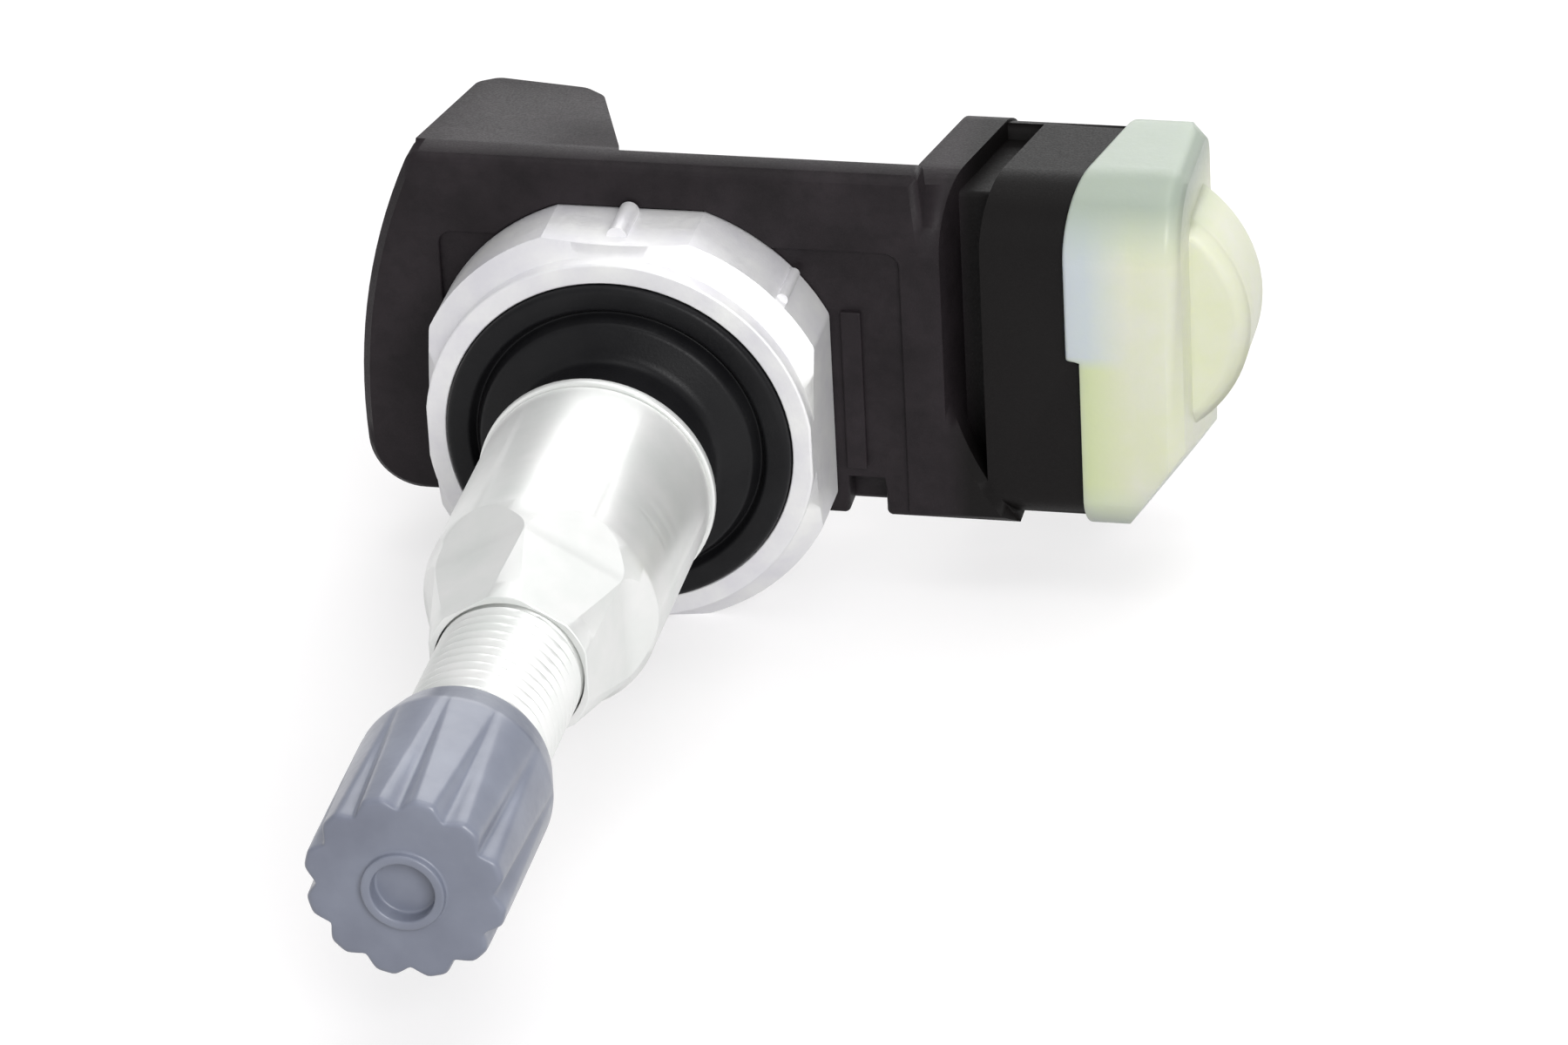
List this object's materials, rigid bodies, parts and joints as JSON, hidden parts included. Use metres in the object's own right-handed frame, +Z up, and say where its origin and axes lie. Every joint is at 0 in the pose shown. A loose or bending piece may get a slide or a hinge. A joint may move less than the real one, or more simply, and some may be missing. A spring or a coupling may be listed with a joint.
{
  "type": "tyre pressure sensor",
  "caption": "Wheel-mounted tyre pressure sensor: moulded electronics housing on a clamp-in valve with collar, rubber grommet, sleeve nut, valve core and fluted cap.",
  "frame": {"origin": "on the valve axis, in the plane of the grommet ring's front face, which seats on the inside of the rim", "axes": "-Y along the valve towards its cap, +X along the housing towards the end cover, +Z up as in the picture"},
  "size_m": [0.0481, 0.0641, 0.0248],
  "materials": {
    "housing_plastic": "satin moulded",
    "cover_plastic": "translucent moulded",
    "resin": "cast resin",
    "board": "solder mask",
    "chip_black": "moulded",
    "tinned_steel": "tinned",
    "ceramic": "fired",
    "ferrite": "sintered",
    "copper_wire": "enamelled",
    "cell_steel": "nickel plated",
    "cast_metal": "die-cast",
    "turned_metal": "turned and plated",
    "screw_steel": "zinc plated",
    "spring_steel": "drawn",
    "core_brass": "turned",
    "seal_red": "moulded",
    "rubber": "moulded",
    "cap_plastic": "moulded"
  },
  "bodies": {
    "sensor_body": {"sensor_housing": "housing_plastic", "end_cover": "cover_plastic", "potting_resin": "resin", "circuit_board": "board", "controller_chip": "chip_black", "pressure_chip": "chip_black", "crystal_can": "tinned_steel", "chip_capacitors": "ceramic", "lf_coil_core": "ferrite", "lf_coil_winding": "copper_wire", "rf_antenna": "tinned_steel", "battery_cell": "cell_steel", "battery_tab_positive": "tinned_steel", "battery_tab_negative": "tinned_steel", "stem_collar": "cast_metal", "valve_stem": "turned_metal", "retaining_screw": "screw_steel", "sealing_grommet": "rubber", "core_barrel": "core_brass", "core_ring": "seal_red", "core_spring": "spring_steel"},
    "washer_slider": {"nut_washer": "turned_metal"},
    "nut": {"clamp_nut": "turned_metal"},
    "seal_slider": {"cap_seal": "rubber"},
    "cap": {"valve_cap": "cap_plastic"},
    "plunger": {"core_pin": "core_brass", "pin_seal": "rubber"}
  },
  "joints": [
    {"name": "nut_travel", "type": "slide", "parent": "sensor_body", "child": "washer_slider", "axis": [0, -1, 0], "range_m": [0, 0.00794]},
    {"name": "nut_turn", "type": "hinge", "parent": "washer_slider", "child": "nut", "pos_m": [0, -0.0147, 0], "axis": [0, -1, 0], "range_deg": [0, 3600]},
    {"name": "cap_travel", "type": "slide", "parent": "sensor_body", "child": "seal_slider", "axis": [0, -1, 0], "range_m": [0, 0.00952]},
    {"name": "cap_turn", "type": "hinge", "parent": "seal_slider", "child": "cap", "pos_m": [0, -0.0399, 0], "axis": [0, -1, 0], "range_deg": [0, 4320]},
    {"name": "core_press", "type": "slide", "parent": "sensor_body", "child": "plunger", "axis": [0, 1, 0], "range_m": [0, 0.0012], "stiffness_N_per_m": 1000, "springref_m": -0.0015, "deforming": ["core_spring"]}
  ],
  "couplings": [
    {"joint": "nut_turn", "follows": "nut_travel", "rad_per_m": 7915.8},
    {"joint": "cap_turn", "follows": "cap_travel", "rad_per_m": 7915.8}
  ]
}
